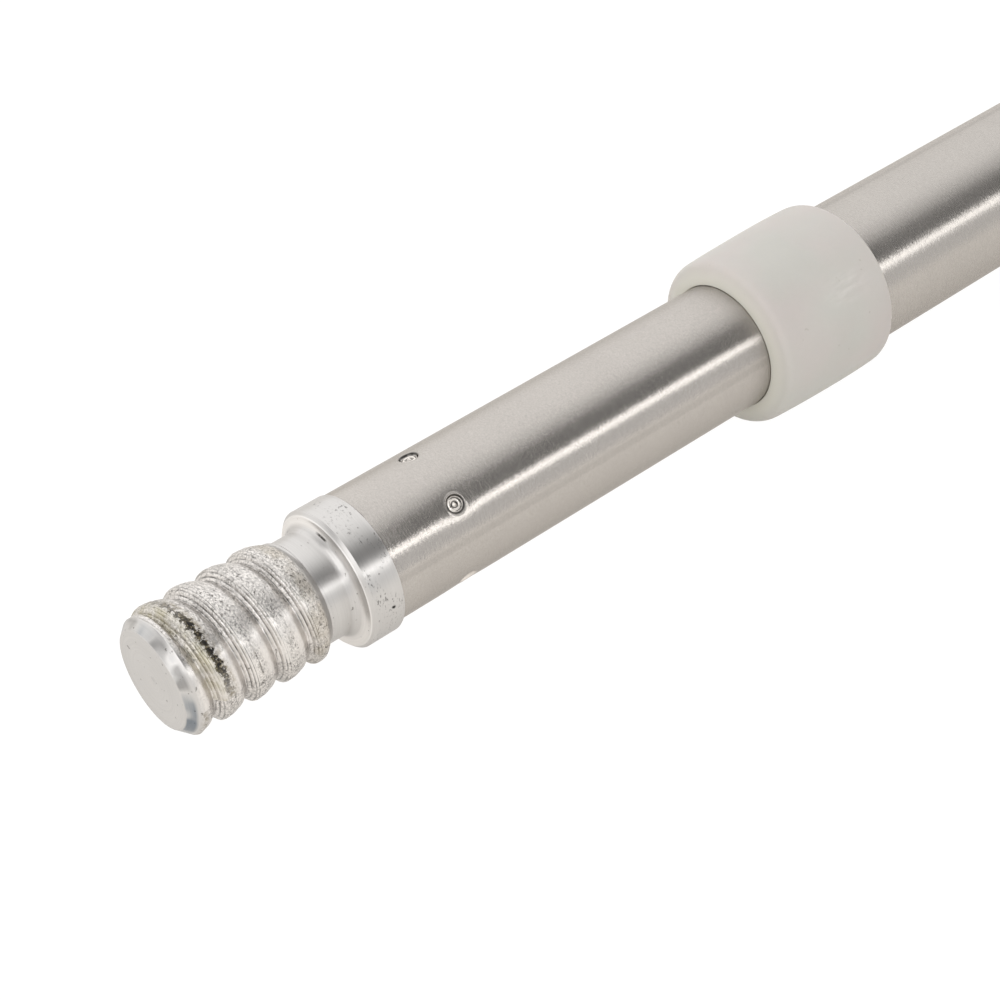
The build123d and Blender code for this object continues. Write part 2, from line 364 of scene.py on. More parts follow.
# place along the pole, angle, radius and size of single black pits in the ferrule
PITS = (
    (3.55, 176.5, 10.85, 0.36),
    (3.35, 176.0, 10.85, 0.30),
    (3.5, 169, 10.83, 0.2),
    (2.0, 168, 10.83, 0.16),
    (1.3, 171, 10.83, 0.14),
    (2.6, 62, 10.1, 0.22),
    (3.2, 65, 10.1, 0.2),
    (1.9, 70, 10.1, 0.18),
    (1.5, 185, 10.9, 0.17),
    (1.9, 189, 10.9, 0.15),
    (-6.6, 73, 8.0, 0.3),
    (-6.1, 79, 7.9, 0.2),
)
# dirt behind a crest: its middle, half its width, its first and last angle, and its depth of colour
DIRT = (
    (FIRST_CREST_X + 0.40, 0.62, 50, 190, 1.0),
    (FIRST_CREST_X + PITCH + 0.42, 0.19, 130, 200, 0.9),
    (FIRST_CREST_X + 2 * PITCH + 0.52, 0.14, 135, 190, 0.6),
)
# painted shade: dark lines in the tool steps on the front of a crest: distance behind its line, width and
# darkness
STEP_SHADE_LINES = ((-0.50, 0.045, 0.7), (-0.84, 0.05, 0.65), (-1.22, 0.055, 0.75), (-1.62, 0.07, 0.7))
# colours of the dirt, from its hollows to its crumbs
SOIL = (
    (0.44, (0.003, 0.002, 0.002)),
    (0.53, (0.03, 0.023, 0.012)),
    (0.60, (0.17, 0.14, 0.085)),
    (0.68, (0.48, 0.43, 0.34)),
)
# tints of the painted reflection streaks across the tip's chamfer, the bluish dark gaps in its highlight
CHAMFER_REFLECTION_TINTS = (
    (0.36, (0.36, 0.41, 0.47)),
    (0.46, (0.80, 0.82, 0.84)),
    (0.54, (1.0, 1.0, 1.0)),
    (0.62, (0.60, 0.60, 0.60)),
)


def behind_line(s, at, line_x):
    """Distance in metres behind the helix that crosses line_x at CREST_ANGLE."""
    return s.minus(s.minus(at.x, line_x * MM), at.helix)


def torn_metal(s, at):
    """How torn the metal is: the crests' backs all round, the valleys on the upper side, the last turn."""
    lower = s.range(at.angle, math.radians(126), math.radians(142), 0.0, 1.0, True)
    crest_back = s.times(
        s.range(at.phase, -0.10, -0.02, 0.0, 1.0, True),
        s.range(at.phase, 0.16, 0.36, 1.0, 0.0, True),
        s.range(lower, 0.0, 1.0, 0.95, 0.589),
    )
    upper = s.range(lower, 0.0, 1.0, 0.66, 0.14)
    tear = s.math("MAXIMUM", s.math("MAXIMUM", crest_back, upper), at.last_turn)
    return s.times(at.thread, tear)


def aluminium_shade(s, at, ring_marks):
    """Lightness of the bare metal, with painted shade in the tool steps and a painted highlight on the
    shoulder's face.
    """
    shade = s.range(ring_marks, 0.3, 0.7, 0.95, 1.04)
    rough = s.times(s.range(at.torn, 0.38, 0.60, 0.38, 1.15), s.range(at.patches, 0.3, 0.7, 0.94, 1.04))
    shade = s.times(shade, s.math("ADD", s.times(at.tear, s.minus(rough, 1.0)), 1.0))
    # painted shade along the creases of the tool steps
    for behind, width, dark in STEP_SHADE_LINES:
        off = s.gap(s.times(at.phase, PITCH), behind)
        line = s.range(off, width * 0.4, width * 1.5, dark, 0.0)
        line = s.times(line, at.thread, s.range(at.patches, 0.35, 0.6))
        shade = s.times(shade, s.minus(1.0, line))
    # the thread's metal is paler than the plain parts; the shoulder's face is lightened, a painted highlight
    # where it catches the light
    face_highlight = s.times(
        s.range(at.x, -1.5e-3, -0.8e-3, 0.0, 1.0, True),
        s.range(at.x, 0.02e-3, 0.2e-3, 1.0, 0.0, True),
        s.range(at.radius, 8.2e-3, 9.0e-3, 0.0, 1.0, True),
    )
    return s.times(shade, s.range(at.thread, 0.0, 1.0, 1.0, 1.34), s.range(face_highlight, 0.0, 1.0, 1.0, 1.38))


def packed_dirt(s, at):
    """How much dirt is packed in behind the first crest, and in thin dotted lines behind the next two."""
    dirt = 0.0
    for middle, half, first, last, depth in DIRT:
        off = s.math("ABSOLUTE", behind_line(s, at, middle))
        edge = s.range(at.blotch, 0.38, 0.62, half * MM * 0.1, half * MM * 1.5)
        band = s.times(
            s.range(s.minus(edge, off), -0.03e-3, 0.09e-3),
            depth,
            s.range(at.angle, math.radians(first), math.radians(first + 60), 0.25, 1.0, True),
            s.range(at.angle, math.radians(last - 45), math.radians(last), 1.0, 0.0, True),
            s.range(at.angle, math.radians(first), math.radians(first + 15), 0.0, 1.0, True),
        )
        dirt = s.math("MAXIMUM", dirt, band)
    return dirt


def soiled(s, at, tint):
    """The metal's colour under dirt and a brown haze, with stains on the first crest and the last turn."""
    crumbs = s.noise(at.where, (2300, 1900, 1900), 3, 0.7)
    soil = s.ramp(crumbs, SOIL)
    tint = s.mix(s.times(at.dirt, 0.97), tint, soil)
    from_haze = s.math("ABSOLUTE", behind_line(s, at, FIRST_CREST_X + 0.8))
    haze = s.times(
        s.range(from_haze, 0.3e-3, 1.3e-3, 1.0, 0.0, True),
        s.range(at.blotch, 0.42, 0.6, 0.05, 0.8),
        s.minus(1.0, at.dirt),
        s.range(at.angle, math.radians(178), math.radians(200), 1.0, 0.2, True),
        at.thread,
    )
    tint = s.mix(haze, tint, (0.20, 0.165, 0.10))
    from_stain = s.math("ABSOLUTE", behind_line(s, at, FIRST_CREST_X - 1.0))
    olive = s.times(
        s.range(from_stain, 0.3e-3, 1.4e-3, 1.0, 0.0, True),
        s.range(at.patches, 0.35, 0.6, 0.25, 1.0),
        at.thread,
        0.6,
    )
    tint = s.mix(olive, tint, (0.36, 0.325, 0.205))
    brown = s.times(at.last_turn, at.thread, s.range(at.patches, 0.4, 0.6, 0.1, 0.5))
    return s.mix(brown, tint, (0.35, 0.30, 0.22))


def marked(s, at, tint):
    """The metal's colour with its pores, pits, painted reflection streaks, scuffs and scratch."""
    pores = s.range(s.noise(at.where, (2600, 1900, 1900), 2, 0.6), 0.59, 0.64)
    tint = s.mix(s.times(pores, at.tear, 0.8), tint, (0.075, 0.068, 0.06))
    small_pits = s.range(s.noise(at.where, (1500, 1100, 1100), 2, 0.6), 0.69, 0.73, 0.0, 0.7)
    tint = s.mix(small_pits, tint, (0.14, 0.13, 0.12))
    # painted reflection: bluish dark streaks across the tip's chamfer
    chamfer = s.times(
        s.range(at.radius, (TIP_FACE_RADIUS + 0.05) * MM, (TIP_FACE_RADIUS + 0.2) * MM),
        s.range(at.x, (tip_x + 1.0) * MM, (tip_x + 1.35) * MM, 1.0, 0.0),
    )
    streaks = s.ramp(s.noise(at.where, (60, 175, 175), 2, 0.55), CHAMFER_REFLECTION_TINTS)
    tint = s.mix(chamfer, tint, s.mix(1.0, tint, streaks, "MULTIPLY"))
    # scuffs on the shoulder's rim, where it is gripped to tighten the pole
    scuffs = s.times(
        s.range(at.x, 0.5e-3, 0.8e-3),
        s.range(s.noise(at.where, (3000, 1500, 1500), 3, 0.7), 0.57, 0.64),
        s.range(s.noise(at.where, (330, 250, 250), 2, 0.5), 0.47, 0.62, 0.0, 0.75),
    )
    tint = s.mix(scuffs, tint, (0.13, 0.125, 0.12))
    for pit_x, pit_angle, pit_radius, size in PITS:
        middle = point(pit_x, pit_radius, pit_angle)
        away = s.node("ShaderNodeVectorMath", {0: at.where, 1: middle}, operation="DISTANCE").outputs["Value"]
        tint = s.mix(s.range(away, size * MM * 0.5, size * MM, 0.95, 0.0), tint, (0.012, 0.01, 0.01))
    # a dark scratch on the upper side of the neck's fillet
    scratch = s.times(
        s.range(s.gap(at.x, SCRATCH_X * MM), 0.06e-3, 0.13e-3, 1.0, 0.0),
        s.range(at.angle, math.radians(84), math.radians(90)),
        s.range(at.angle, math.radians(98), math.radians(101), 1.0, 0.0),
        s.range(at.blotch, 0.3, 0.5, 0.5, 0.95),
    )
    return s.mix(scratch, tint, (0.04, 0.036, 0.03))


def turned_aluminium(name):
    """Machined aluminium: fine rings from the tool, a torn and soiled thread, scuffs and pits, with painted
    shade in the tool steps, a painted highlight on the shoulder's face and painted reflection streaks on the
    chamfer.
    """
    made, s = material(name)
    at = s.place()
    at.thread = s.times(
        s.range(at.x, THREAD_START * MM, (THREAD_START + 1.0) * MM, 0.0, 1.0, True),
        s.range(at.x, (THREAD_END - 0.6) * MM, (THREAD_END + 0.2) * MM, 1.0, 0.0, True),
    )
    at.last_turn = s.range(at.x, (THREAD_END - 3.2) * MM, (THREAD_END - 2.0) * MM, 0.0, 0.8, True)
    at.helix = s.times(s.minus(at.angle, math.radians(CREST_ANGLE)), PITCH * MM / (2 * math.pi))
    # distance behind the nearest crest line, in turns: 0 on a crest, 0.5 and -0.5 in the middle of a valley
    turns = s.math("DIVIDE", behind_line(s, at, CREST_X), PITCH * MM)
    at.phase = s.minus(turns, s.math("ROUND", turns))
    at.torn = s.noise(at.where, (3900, 2700, 2700), 3, 0.8)
    at.patches = s.noise(at.where, (420, 420, 420), 3, 0.6)
    at.blotch = s.noise(at.where, (1300, 1300, 1300), 4, 0.75)
    at.tear = torn_metal(s, at)
    at.dirt = packed_dirt(s, at)
    # tool rings follow the outline, along the pole and up its faces
    outline = s.math("ADD", at.x, s.times(at.radius, 0.8))
    ring_place = s.vector(outline, at.y, at.z)
    fine_rings = s.noise(ring_place, (7000, 90, 90), 3, 0.6)
    coarse_rings = s.noise(ring_place, (2200, 40, 40), 2, 0.5)

    tint = s.mix(at.thread, (0.525, 0.510, 0.495), (0.525, 0.502, 0.480))
    tint = s.shaded(tint, aluminium_shade(s, at, fine_rings))
    tint = marked(s, at, soiled(s, at, tint))
    normal = s.bump(fine_rings, 1.6e-5)
    normal = s.bump(coarse_rings, 2.6e-5, normal)
    normal = s.bump(s.times(at.torn, s.range(at.tear, 0.0, 1.0, 0.05, 1.0)), 1.1e-4, normal)
    # the neck is duller than the thread and the shoulder
    dulled = s.range(at.x, -6.0e-3, -5.0e-3, 0.0, 0.06, True)
    dulled = s.minus(dulled, s.range(at.x, -1.6e-3, 0.0, 0.0, 0.04, True))
    rough = s.math("ADD", s.range(at.tear, 0.0, 1.0, 0.29, 0.34), s.times(at.dirt, 0.4))
    s.surface(
        Base_Color=tint,
        Metallic=s.minus(1.0, s.times(at.dirt, 0.85)),
        Specular_IOR_Level=0.15,
        Roughness=s.math("ADD", rough, dulled),
        Anisotropic=0.5,
        Anisotropic_Rotation=ALONG_THE_POLE,
        Specular_Tint=(0.8, 0.8, 0.8, 1),
        Tangent=s.round_the_pole(),
        Normal=normal,
    )
    return made


def moulded_plastic(name, colour, roughness, grain=1.0, gate=None, mouth=None):
    """Off-white moulded plastic, slightly mottled, with a very fine skin.
    The gate is where the mould was filled, with a painted sheen round it. The mouth is the radius in metres
    of a bore for a sliding tube, with painted shadow in its gap and a painted highlight round it."""
    made, s = material(name)
    at = s.place()
    cloud = s.noise(at.where, (110, 110, 110), 3, 0.55)
    hue = s.noise(at.where, (75, 75, 75), 2, 0.5)
    fine = s.noise(at.where, (1600, 1600, 1600), 3, 0.6)
    orange_peel = s.noise(at.where, (420, 420, 420), 2, 0.5)
    shade = s.times(s.range(cloud, 0.3, 0.7, 0.975, 1.025), s.range(fine, 0.3, 0.7, 0.99, 1.01))
    cast = s.ramp(hue, [(0.38, (1.0, 0.965, 0.955)), (0.62, (0.965, 0.985, 0.955))])
    tint = s.mix(1.0, s.shaded(colour, shade), cast, "MULTIPLY")
    specks = s.range(s.noise(at.where, (900, 900, 900), 1, 0.5), 0.77, 0.80, 0.0, 0.3)
    tint = s.mix(specks, tint, (0.30, 0.27, 0.22))
    if gate is not None:
        # lighter flow lines spread from the gate: the flow marks are real, their sheen is painted as lighter
        # colour
        local = s.node("ShaderNodeVectorMath", {0: at.where, 1: gate}, operation="SUBTRACT").outputs[0]
        away = s.node("ShaderNodeVectorMath", {0: s.scaled(local, (0.55, 1.0, 1.0))}, operation="LENGTH")
        sheen_streak = s.noise(local, (260, 900, 900), 2, 0.6)
        mark = s.times(s.range(away.outputs["Value"], 0.5e-3, 3.4e-3, 1.0, 0.0, True),
                       s.range(sheen_streak, 0.42, 0.62, 0.02, 0.32))
        tint = s.mix(mark, tint, tuple(c * 1.35 for c in colour))
    if mouth is not None:
        # painted shadow, brown, in the gap where the sliding tube enters the mouth, and a paler yellowish
        # painted highlight round it
        mouth_gap_shadow = s.range(at.radius, mouth, mouth + 0.35e-3, 0.75, 0.0, True)
        tint = s.mix(mouth_gap_shadow, tint, (0.20, 0.165, 0.11))
        # painted highlight on the rounded front edge round the mouth, lighter and yellowish
        mouth_edge_highlight = s.times(s.range(at.radius, mouth + 0.3e-3, mouth + 3.4e-3, 1.0, 0.0, True),
                       s.range(at.x, collar_x * MM, (collar_x + 3.5) * MM, 0.8, 0.0, True))
        tint = s.mix(mouth_edge_highlight, tint, (0.585, 0.57, 0.50))
    normal = s.bump(orange_peel, 1.0e-5 * grain)
    normal = s.bump(fine, 0.3e-5 * grain, normal)
    s.surface(
        Base_Color=tint,
        Roughness=s.range(fine, 0.3, 0.7, roughness - 0.04, roughness + 0.04),
        Subsurface_Weight=0.12,
        Subsurface_Radius=(0.0022, 0.0019, 0.0014),
        Subsurface_Scale=1.0,
        Normal=normal,
    )
    return made


def plated_steel(name):
    """Zinc-plated steel: bright, slightly cloudy and blue-grey."""
    made, s = material(name)
    where = s.where()
    cloud = s.noise(where, (700, 700, 700), 3, 0.6)
    fine = s.noise(where, (4000, 4000, 4000), 2, 0.6)
    tint = s.ramp(cloud, [(0.3, (0.44, 0.45, 0.47)), (0.7, (0.60, 0.60, 0.60))])
    s.surface(Base_Color=tint, Metallic=1.0, Roughness=s.range(cloud, 0.3, 0.7, 0.26, 0.4),
              Normal=s.bump(fine, 0.6e-5))
    return made


def black_rubber(name):
    """Moulded black rubber with a dull bloom."""
    made, s = material(name)
    where = s.where()
    bloom = s.noise(where, (320, 320, 320), 4, 0.6)
    fine = s.noise(where, (3000, 3000, 3000), 3, 0.6)
    tint = s.ramp(bloom, [(0.3, (0.018, 0.018, 0.018)), (0.75, (0.05, 0.049, 0.047))])
    s.surface(Base_Color=tint, Roughness=s.range(bloom, 0.3, 0.7, 0.62, 0.8), Normal=s.bump(fine, 2.0e-5))
    return made


# ------------------------------------------------------------------ thread ferrule

FERRULE_ANGLES = np.arange(0, 360, 1.0)
CREST_RADIUS = 9.18
ROOT_RADIUS = 7.84
FLOOR_RADIUS = 7.6
CHAMFER_SLOPE = 0.95
# outline of the thread: distance behind the crest's line, and height from root to crest
BEHIND_CREST = (0.0, 0.55, 2.3, 3.3, 3.5, 4.4, PITCH)
RIDGE_HEIGHT = (1.0, 1.0, 0.62, 0.06, 0.0, 1.0, 1.0)
# the outline is averaged over these distances, which rounds its corners
AVERAGED_OVER = (-0.26, -0.13, 0.0, 0.13, 0.26)
# fine steps that the threading tool left along the front corner of each crest
STEP_HEIGHT = 0.042
STEP_PITCH = 0.37
FIRST_STEP = 0.68
CREST_HOLLOW = 0.03      # along the top of a crest
# plain lead-in between the chamfer and the thread
LEAD_IN_RADIUS = 8.35
LEAD_IN_RISE = 0.2
# the thread runs out down a slope to the neck
RUN_OUT_SLOPE = 0.9
RUN_OUT_END = -4.7
REGAINED = 0.012         # part of what the soft limits take off the radius
# unevenness of the torn metal: its size, and its shortest wave along the pole
TEAR_DEPTH = 0.020
FINEST_TEAR = 0.42
NECK_X = -4.0
NECK_RADIUS = 7.85
NECK_FILLET = 1.6
SHOULDER_RADIUS = 10.5
SHOULDER_CHAMFER = 0.55
# the shoulder was turned in a second chucking, a little off the thread's axis
SHOULDER_SHIFT = (-0.24, -0.18)
SPIGOT_CHAMFER = 0.8


def soft_limit(radius, limit, soft):
    """The smaller of the two, with the corner between them rounded."""
    gap = radius - limit
    return radius - (gap + np.sqrt(gap * gap + soft * soft)) / 2


def thread_radius(x, angles):
    """Radius of the turned blank and its thread at a place along the pole and an angle about it."""
    crest_x = CREST_X + PITCH * (angles - CREST_ANGLE) / 360
    turns = (x - crest_x) / PITCH
    behind = (turns - np.floor(turns)) * PITCH
    ahead = PITCH - behind
    # a steep front, a long gentle back and a narrow valley, all a little rounded
    heights = [np.interp((behind + away) % PITCH, BEHIND_CREST, RIDGE_HEIGHT) for away in AVERAGED_OVER]
    radius = ROOT_RADIUS + (CREST_RADIUS - ROOT_RADIUS) * sum(heights) / len(heights)
    stepped = smoothstep(0.30, 0.5, ahead) * (1 - smoothstep(1.5, 1.8, ahead))
    radius = radius + STEP_HEIGHT * stepped * np.cos(2 * np.pi * (ahead - FIRST_STEP) / STEP_PITCH)
    radius = radius - CREST_HOLLOW * smoothstep(0.1, 0.3, behind) * (1 - smoothstep(0.5, 0.8, behind))
    # the lead-in falls to the thread's floor, and the floor rises to the neck
    lead_in = LEAD_IN_RADIUS + LEAD_IN_RISE * smoothstep(-27.0, -26.0, x)
    lead_in = lead_in - (lead_in - FLOOR_RADIUS) * smoothstep(-25.9, -24.7, x)
    floor = FLOOR_RADIUS + (NECK_RADIUS - FLOOR_RADIUS) * smoothstep(-6.4, -5.2, x)
    radius = np.maximum(np.maximum(radius, lead_in), floor)
    radius = soft_limit(radius, TIP_FACE_RADIUS + CHAMFER_SLOPE * (x - tip_x), 0.05)
    radius = soft_limit(radius, NECK_RADIUS + RUN_OUT_SLOPE * np.maximum(RUN_OUT_END - x, 0), 0.10) + REGAINED
    # the thread's metal is torn, most of all on the upper side
    upper = 0.45 + 0.55 * (1 - smoothstep(124, 142, angles)) * smoothstep(20, 45, angles)
    rough = smoothstep(-26.6, -25.4, x) * (1 - smoothstep(-6.0, -5.0, x)) * upper
    return radius + rough * ripple(x, angles, TEAR_DEPTH, FINEST_TEAR, seed=7)


def ferrule():
    """The turned end: tip face, chamfer, thread, neck with its fillet, shoulder, spigot in the tube."""
    face = [(tip_x + 0.10, 0.35), (tip_x + 0.02, 0.6)]
    face += [(tip_x, radius) for radius in (1.2, 2.4, 3.6, 4.8, 6.0, 6.9, TIP_FACE_RADIUS - 0.08)]
    thread_x = np.arange(tip_x + 0.04, NECK_X, 0.07)
    neck_x = np.arange(NECK_X, -NECK_FILLET, 0.2)
    side_x = np.concatenate([thread_x, neck_x])[:, None]
    side_radius = thread_radius(side_x, FERRULE_ANGLES[None, :])
    fillet = [(NECK_FILLET * (math.sin(a) - 1), NECK_RADIUS + NECK_FILLET * (1 - math.cos(a)))
              for a in np.radians(np.linspace(0, 86, 13))]
    rim = SHOULDER_RADIUS
    edge = SHOULDER_CHAMFER
    shoulder = [(0.0, rim - edge - 0.3), (0.0, rim - edge - 0.06), (0.05, rim - edge)]
    shoulder += [(edge - 0.06, rim - 0.08), (edge + 0.04, rim)]
    shoulder += [(x, rim) for x in np.arange(edge + 0.5, front_x - 0.5, 0.4)]
    shoulder += [(front_x - 0.3, rim), (front_x - 0.1, rim - 0.08), (front_x - 0.02, rim - 0.25)]
    seated = front_radius - WALL - SEATING_GAP
    spigot = [(front_x - 0.02, seated), (ferrule_end - SPIGOT_CHAMFER, seated)]
    spigot += [(ferrule_end, seated - SPIGOT_CHAMFER)]

    count = len(FERRULE_ANGLES)
    threaded = [rings(face, count), (side_x * np.ones((1, count)), side_radius), rings(fillet, count)]
    x, radius = joined(threaded + [rings(shoulder, count), rings(spigot, count)])
    shift = np.zeros((len(x), 1, 3))
    first = sum(len(table) for table, _ in threaded)
    shift[first:first + len(shoulder), 0, 1:] = SHOULDER_SHIFT
    return skin("ferrule_turned", x, radius, FERRULE_ANGLES, closed=False, sharp=32, offset=shift)


# ------------------------------------------------------------------ tubes with punched dimples

DIMPLE_ANGLES = (68, 130, 208, 278, 345)
UNSHADED_DIMPLE = 208        # this dimple's grooves get no painted shade
DIMPLE_INSET = 12.5       # from the tube's end to the middle of its dimples
# a dimple and the dent round it reach this far from its middle
DIMPLE_EDGE = 1.9
DENT_EDGE = 6.5
# steps of the mesh along the pole: in the front tube's front dimples, in the other dimples, in plain tube
CLOSE_STEP = 0.085
COARSE_STEP = 0.4
PLAIN_STEP = 20


def dimple(distance):
    """Height of a punched dimple at a distance from its middle: a wide soft dent, a lip, a bowl, a nipple."""
    dent = -0.13 * hill(distance, 0.0, 2.5)
    lip = 0.05 * hill(distance, 1.56, 0.12)
    bowl = -0.40 * (1 - smoothstep(1.10, 1.44, distance)) + 0.17 * hill(distance, 0.80, 0.20)
    nipple = 0.30 * hill(distance, 0.0, 0.27)
    return dent + lip + bowl + nipple


def dimpled_tube(name, start, end, radius, dimple_rows):
    """Open tube with its edges rounded, and a ring of punched dimples for each row of (place, step)."""
    angles = fine_steps(0, 360, 2.5, [(a - 11, a + 11, 0.45) for a in DIMPLE_ANGLES])[:-1]
    zones = []
    for place, step in dimple_rows:
        zones.append((place - DENT_EDGE, place + DENT_EDGE, 0.5))
        zones.append((place - DIMPLE_EDGE, place + DIMPLE_EDGE, step))
    x = fine_steps(start + 0.2, end - 0.2, PLAIN_STEP, zones)
    height = np.zeros((len(x), len(angles)))
    nearest = np.full(height.shape, np.inf)
    for place, _ in dimple_rows:
        for middle in DIMPLE_ANGLES:
            turn = (angles - middle + 180) % 360 - 180
            around = np.radians(turn) * radius
            distance = np.hypot(x[:, None] - place, around[None, :])
            height += dimple(distance)
            nearest = np.minimum(nearest, distance)
    # from the outside over an end to the inside: distance in from the end, and depth
    edge = ((0.05, 0.05), (0.0, 0.2), (0.0, WALL - 0.1), (0.1, WALL))
    rim = [(end - inset, radius - depth) for inset, depth in edge]
    back = [(start + inset, radius - depth) for inset, depth in reversed(edge)]
    along = x[:, None] * np.ones((1, len(angles)))
    inside = radius - WALL + np.minimum(height, 0.0)
    outer = (along, radius + height)
    inner = (along[::-1], inside[::-1])
    rows_x, rows_radius = joined([outer, rings(rim, len(angles)), inner, rings(back, len(angles))])
    tube = skin(name, rows_x, rows_radius, angles, closed=True, sharp=55)

    away = nearest.ravel()
    groove_shaded = np.tile(np.abs(angles - UNSHADED_DIMPLE) > 15, len(x))
    marks = {
        "punched": 1 - smoothstep(1.35, 1.62, away),
        # painted shade in the grooves of all dimples but the unshaded one
        "groove": groove_shaded * (hill(away, 1.32, 0.17) + 0.85 * hill(away, 0.46, 0.13)),
    }
    for mark, values in marks.items():
        everywhere = np.zeros(len(tube.data.vertices))
        everywhere[:len(values)] = np.clip(values, 0, 1)
        tube.data.attributes.new(mark, "FLOAT", "POINT").data.foreach_set("value", everywhere)
    return tube


# ------------------------------------------------------------------ moulded pieces

COLLAR_LENGTH = 23.3
# the collar's outside: distance behind its front, radius, and rounding of the corner there
COLLAR_OUTSIDE = (
    (0.1, 11.2, 0.7),
    (0.9, 13.32, 0.95),
    (2.2, 13.47, 0.25),
    (5.8, 13.63, 0),
    (8.8, 13.72, 0),
    (12.4, 13.80, 0),
    (15.9, 13.85, 0),
    (19.6, 13.82, 0),
    (21.5, 13.76, 0.5),
    (COLLAR_LENGTH, 13.70, 0.95),
)
# where the collar's mould was filled: distance behind its front, radius and angle
GATE = (15.5, 13.85, 137)
GRIP_MARGIN = 14.0       # plain part at each end of the grip
GROOVES = 12
GROOVE_DEPTH = 0.7
GROOVE_HALF = 2.1        # half a groove's width


def collar():
    """One moulding: a slightly barrelled collar, its mouth bevelled, with a bushing inside the outer tube."""
    bore = front_radius + BUSHING_GAP
    seat = rear_radius + SEATING_GAP
    bushing = rear_radius - WALL - BUSHING_FIT
    corners = [(collar_x, bore, 0.16)]
    corners += [(collar_x + behind, radius, rounding) for behind, radius, rounding in COLLAR_OUTSIDE]
    corners += [(collar_x + COLLAR_LENGTH, seat, 0), (rear_x, seat, 0), (rear_x, bushing, 0)]
    corners += [(bushing_end, bushing, 0.3), (bushing_end, bore, 0.3)]
    angles = np.arange(0, 360, 1.25)
    x, radius = rings(rounded(corners, 9), len(angles))
    # the moulding has shrunk a little unevenly, so its outside is not a perfect round
    outside = radius > rear_radius + 0.5
    slowed = angles[None, :] * 0.05
    uneven = ripple(x[:, :1], slowed, amplitude=0.02, finest=26, seed=3, waves=12)
    return skin("collar_moulding", x, radius + outside * uneven, angles, closed=True, sharp=50)


def grip():
    """Hand grip with rounded grooves and rounded ends."""
    seat = rear_radius + SEATING_GAP
    step = (grip_end - grip_x - 2 * GRIP_MARGIN) / GROOVES
    outline = [(grip_x, seat), (grip_x, grip_radius - 1.2), (grip_x + 0.35, grip_radius - 0.35)]
    outline += [(grip_x + 1.2, grip_radius)]
    for groove in range(GROOVES):
        middle = grip_x + GRIP_MARGIN + step * (groove + 0.5)
        for t in np.linspace(-1, 1, 13):
            depth = GROOVE_DEPTH * (0.5 + 0.5 * math.cos(math.pi * t)) ** 0.7
            outline.append((middle + t * GROOVE_HALF, grip_radius - depth))
    outline += [(grip_end - 0.5, grip_radius), (grip_end, grip_radius - 0.4), (grip_end, seat)]
    angles = np.arange(0, 360, 3.0)
    x, radius = rings(outline, len(angles))
    return skin("grip_moulding", x, radius, angles, closed=True, sharp=50)


# ------------------------------------------------------------------ build

STEEL = (0.435, 0.409, 0.382)
PLASTIC = (0.487, 0.465, 0.443)
# the last number is the angle of each tube's painted reflected dark line
steel_front = brushed_steel("steel_front", STEEL, 0.25, 161)
steel_rear = brushed_steel("steel_rear", STEEL, 0.27, 63)
aluminium = turned_aluminium("aluminium_turned")
gate_behind, gate_radius, gate_angle = GATE
plastic = moulded_plastic(
    "plastic_collar",
    PLASTIC,
    0.55,
    gate=point(collar_x + gate_behind, gate_radius, gate_angle),
    mouth=(front_radius + BUSHING_GAP) * MM,
)
plastic_rear = moulded_plastic("plastic_grip", PLASTIC, 0.5, grain=2.0)
nylon = moulded_plastic("nylon_natural", (0.66, 0.63, 0.54), 0.38)
zinc = plated_steel("zinc_plate")
rubber = black_rubber("rubber_black")

front_dimples = ((front_x + DIMPLE_INSET, CLOSE_STEP), (front_end - DIMPLE_INSET, COARSE_STEP))
rear_dimples = ((rear_end - DIMPLE_INSET, COARSE_STEP),)
turned_end = ferrule()
front_tube = dimpled_tube("front_tube", front_x, front_end, front_radius, front_dimples)
rear_tube = dimpled_tube("rear_tube", rear_x, rear_end, rear_radius, rear_dimples)
for piece, finish, body, node, slot in (
    (turned_end, aluminium, "inner", "thread_ferrule", "aluminium"),
    (front_tube, steel_front, "inner", "inner_tube", "stainless"),
    (rear_tube, steel_rear, "outer", "outer_tube", "stainless"),
    (collar(), plastic, "outer", "guide_collar", "white_plastic"),
    (grip(), plastic_rear, "outer", "grip_sleeve", "white_plastic"),
):
    piece.data.materials.append(finish)
    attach(piece, body)
    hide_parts(node)

for node, finish in (
    ("end_cap", plastic_rear),
    ("lock_plug", nylon),
    ("glide_ring", nylon),
    ("lock_cam", nylon),
    ("cam_washer", zinc),
    ("cam_screw", zinc),
    ("end_buffer", rubber),
):
    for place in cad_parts[node].material_slots:
        place.material = finish

# ------------------------------------------------------------------ studio

FLOOR_HALF = 6.0           # metres
FLOOR_GLOW = 0.96          # seen by the camera
FLOOR_BOUNCE = 0.59        # in reflections
FLOOR_BOUNCE_SOFT = 0.24   # in diffuse light
BACKDROP = 1.06


